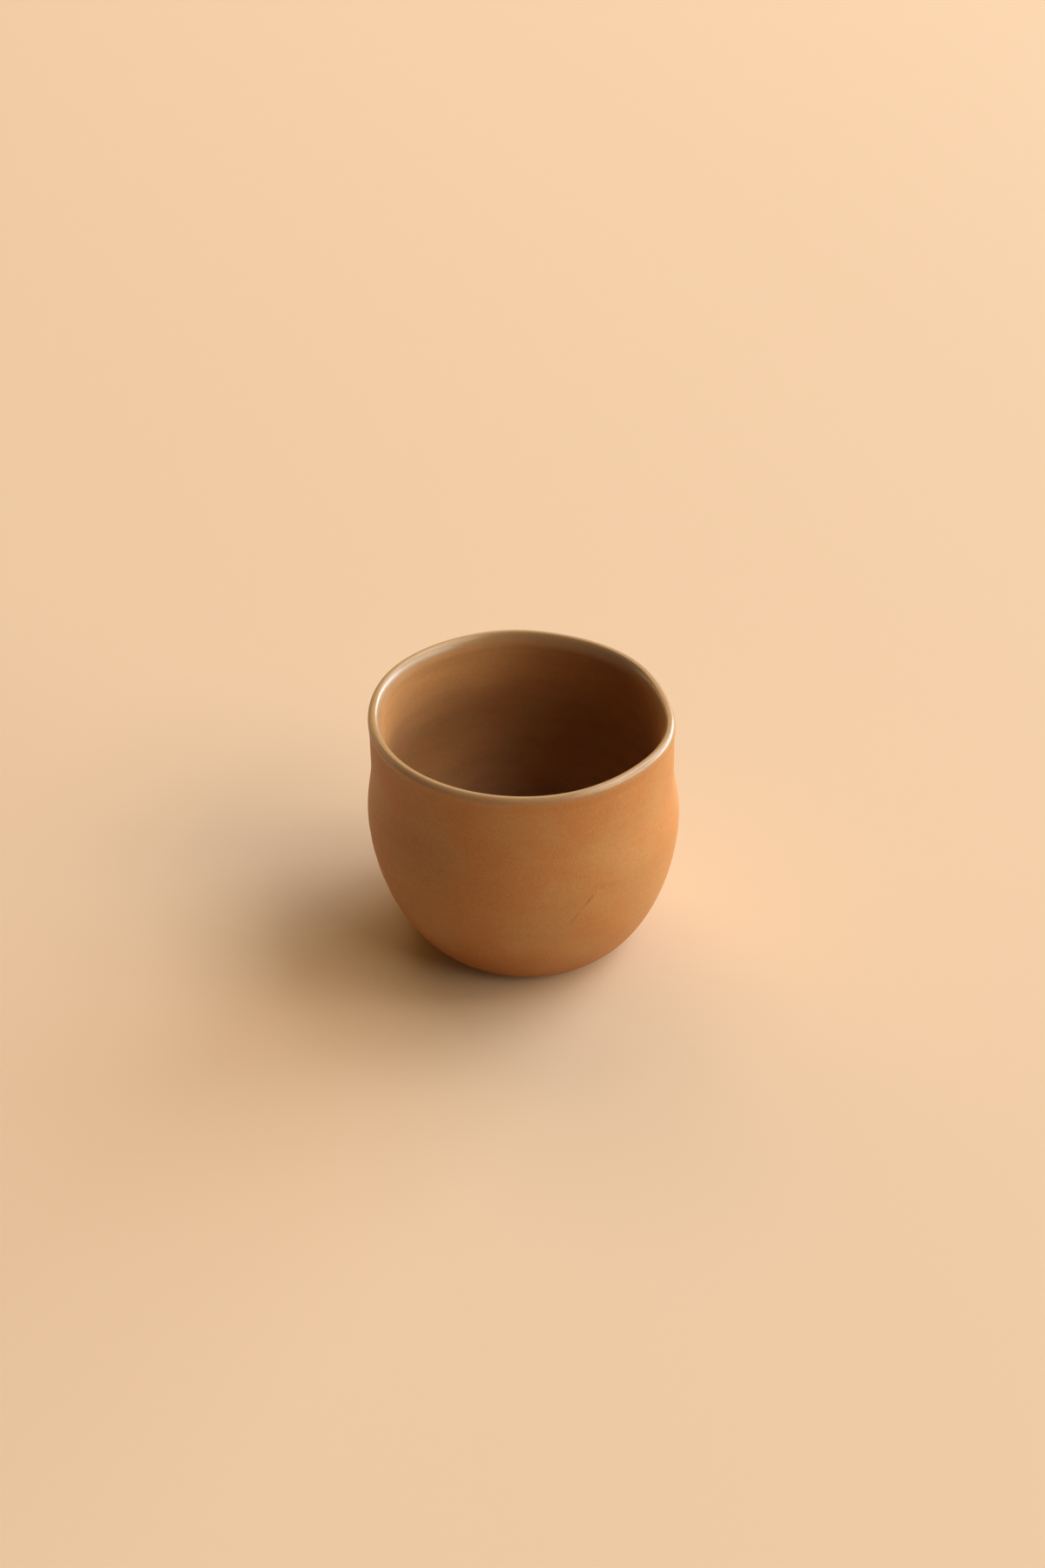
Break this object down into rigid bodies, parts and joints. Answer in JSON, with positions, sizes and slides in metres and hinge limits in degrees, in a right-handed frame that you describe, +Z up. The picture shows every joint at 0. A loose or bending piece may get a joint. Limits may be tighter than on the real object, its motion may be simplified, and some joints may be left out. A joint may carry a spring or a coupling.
{
  "type": "sake cup",
  "caption": "Small hand-thrown clay cup with a rounded belly, a slight waist and a rounded lip; bare clay outside, glazed inside and over the lip, for sake or tea.",
  "frame": {"origin": "centre of the standing ring, on the table that the cup rests on", "axes": "+Z up along the axis of turning; +X to the right and +Y away from the viewer of the picture"},
  "size_m": [0.0676, 0.0676, 0.0556],
  "materials": {
    "clay": "matte",
    "liner_glaze": "satin",
    "rim_glaze": "satin"
  },
  "bodies": {
    "root": {"clay_body": "clay", "liner_glaze": "liner_glaze", "rim_glaze": "rim_glaze"}
  },
  "joints": []
}
